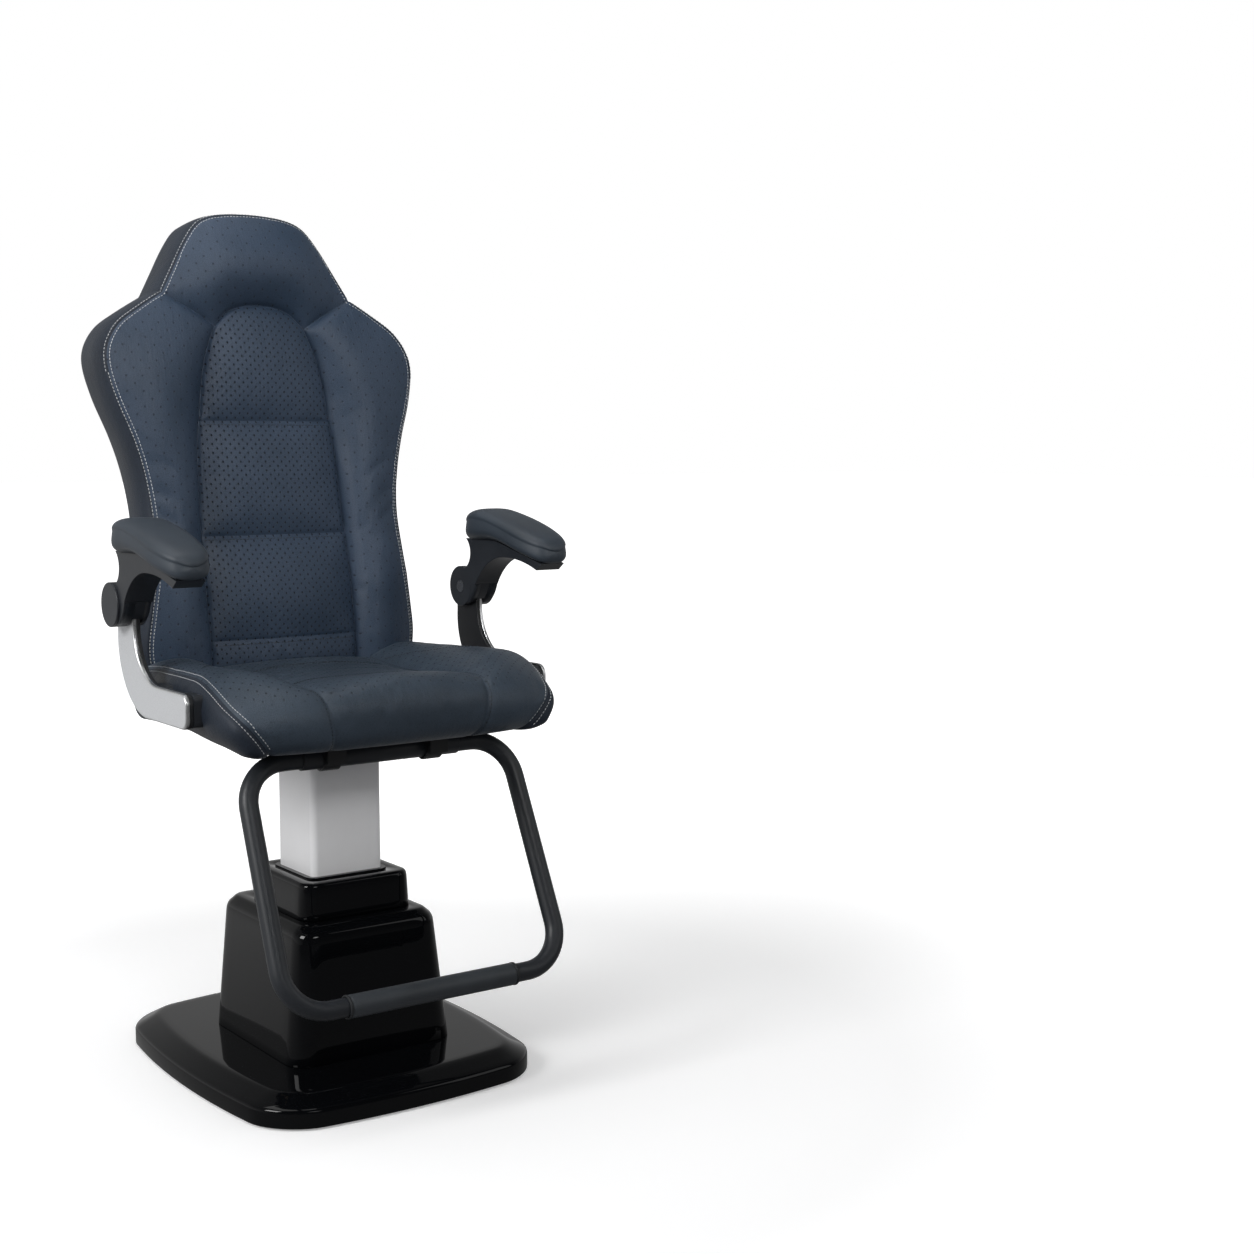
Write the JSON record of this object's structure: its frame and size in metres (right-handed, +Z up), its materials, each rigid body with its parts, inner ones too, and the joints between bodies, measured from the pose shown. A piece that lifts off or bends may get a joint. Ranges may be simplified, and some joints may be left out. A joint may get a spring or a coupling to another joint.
{
  "type": "ophthalmic examination chair",
  "caption": "Examination chair on a square lifting column with a bolstered high back, padded seat, flip-up arms, looped footrest and a glossy floor base.",
  "frame": {"origin": "on the column's axis, at floor level, on the underside of the foot pad below the column", "axes": "+Z up, the sitter faces -Y, so the sitter's left is +X"},
  "size_m": [0.6804, 0.694, 1.336],
  "materials": {
    "leatherette": "soft grained leatherette, perforated on the wings, headrest and insert",
    "leatherette_plain": "plain grained leatherette",
    "pad_polyurethane": "fine matt grain",
    "arm_plastic": "satin moulded plastic",
    "paint_silver": "satin silver paint",
    "paint_white": "satin white paint",
    "gloss_black": "very glossy black",
    "tube_black": "satin black powder coat",
    "steel_black": "matt black paint",
    "steel_zinc": "bright zinc",
    "steel_chrome": "hard chrome",
    "aluminium_cast": "cast, matt",
    "bronze": "turned bronze",
    "nylon": "natural nylon",
    "rubber_black": "matt rubber",
    "plastic_black": "matt moulded plastic",
    "plywood": "birch plywood"
  },
  "bodies": {
    "base": {"base_feet": "rubber_black", "base_plate": "steel_black", "base_cover": "gloss_black", "cable_gland": "plastic_black", "pedestal_housing": "gloss_black", "pedestal_collar": "gloss_black", "column_wiper": "rubber_black", "mast": "steel_black", "mast_bolts": "steel_zinc", "mast_slide_pads": "nylon", "actuator_gearbox": "aluminium_cast", "actuator_motor": "steel_black", "actuator_tube": "aluminium_cast", "actuator_bush": "bronze", "control_box": "plastic_black"},
    "column": {"column": "paint_white", "column_slide_pads": "nylon", "column_top_plate": "steel_black", "actuator_rod": "steel_chrome", "rod_mount": "steel_black", "rod_pin": "steel_zinc", "swivel_hub": "steel_zinc", "thrust_washer": "nylon", "hub_retainer": "steel_zinc"},
    "seat": {"seat_mount_plate": "steel_black", "seat_cross_bars": "steel_black", "seat_bolts": "steel_zinc", "seat_board": "plywood", "seat_cushion": "leatherette", "back_bars": "steel_black", "back_bolts": "steel_zinc", "back_board": "plywood", "back_cushion": "leatherette", "back_rear_panel": "leatherette_plain", "footrest_tube": "tube_black", "footrest_sleeve": "tube_black", "footrest_grip": "rubber_black", "footrest_grip_rings": "steel_zinc", "footrest_saddles": "plastic_black", "footrest_clamp_caps": "plastic_black", "footrest_bolts": "steel_zinc", "right_seat_rail": "plywood", "right_bracket_spacers": "plastic_black", "right_bracket": "paint_silver", "right_bracket_bolts": "steel_zinc", "right_pivot_washers": "nylon", "left_seat_rail": "plywood", "left_bracket_spacers": "plastic_black", "left_bracket": "paint_silver", "left_bracket_bolts": "steel_zinc", "left_pivot_washers": "nylon"},
    "right_arm": {"right_arm_shell": "arm_plastic", "right_arm_pad": "pad_polyurethane", "right_pivot_pin": "steel_zinc", "right_pivot_cap": "arm_plastic"},
    "left_arm": {"left_arm_shell": "arm_plastic", "left_arm_pad": "pad_polyurethane", "left_pivot_pin": "steel_zinc", "left_pivot_cap": "arm_plastic"}
  },
  "joints": [
    {"name": "lift", "type": "slide", "parent": "base", "child": "column", "axis": [0, 0, 1], "range_m": [-0.11, 0.09]},
    {"name": "swivel", "type": "hinge", "parent": "column", "child": "seat", "pos_m": [0, 0, 0.513], "axis": [0, 0, 1], "range_deg": [-90, 90]},
    {"name": "right_arm_flip", "type": "hinge", "parent": "seat", "child": "right_arm", "pos_m": [-0.294, 0.057, 0.732], "axis": [-1, 0, 0], "range_deg": [0, 90]},
    {"name": "left_arm_flip", "type": "hinge", "parent": "seat", "child": "left_arm", "pos_m": [0.294, 0.057, 0.732], "axis": [-1, 0, 0], "range_deg": [0, 90]}
  ]
}
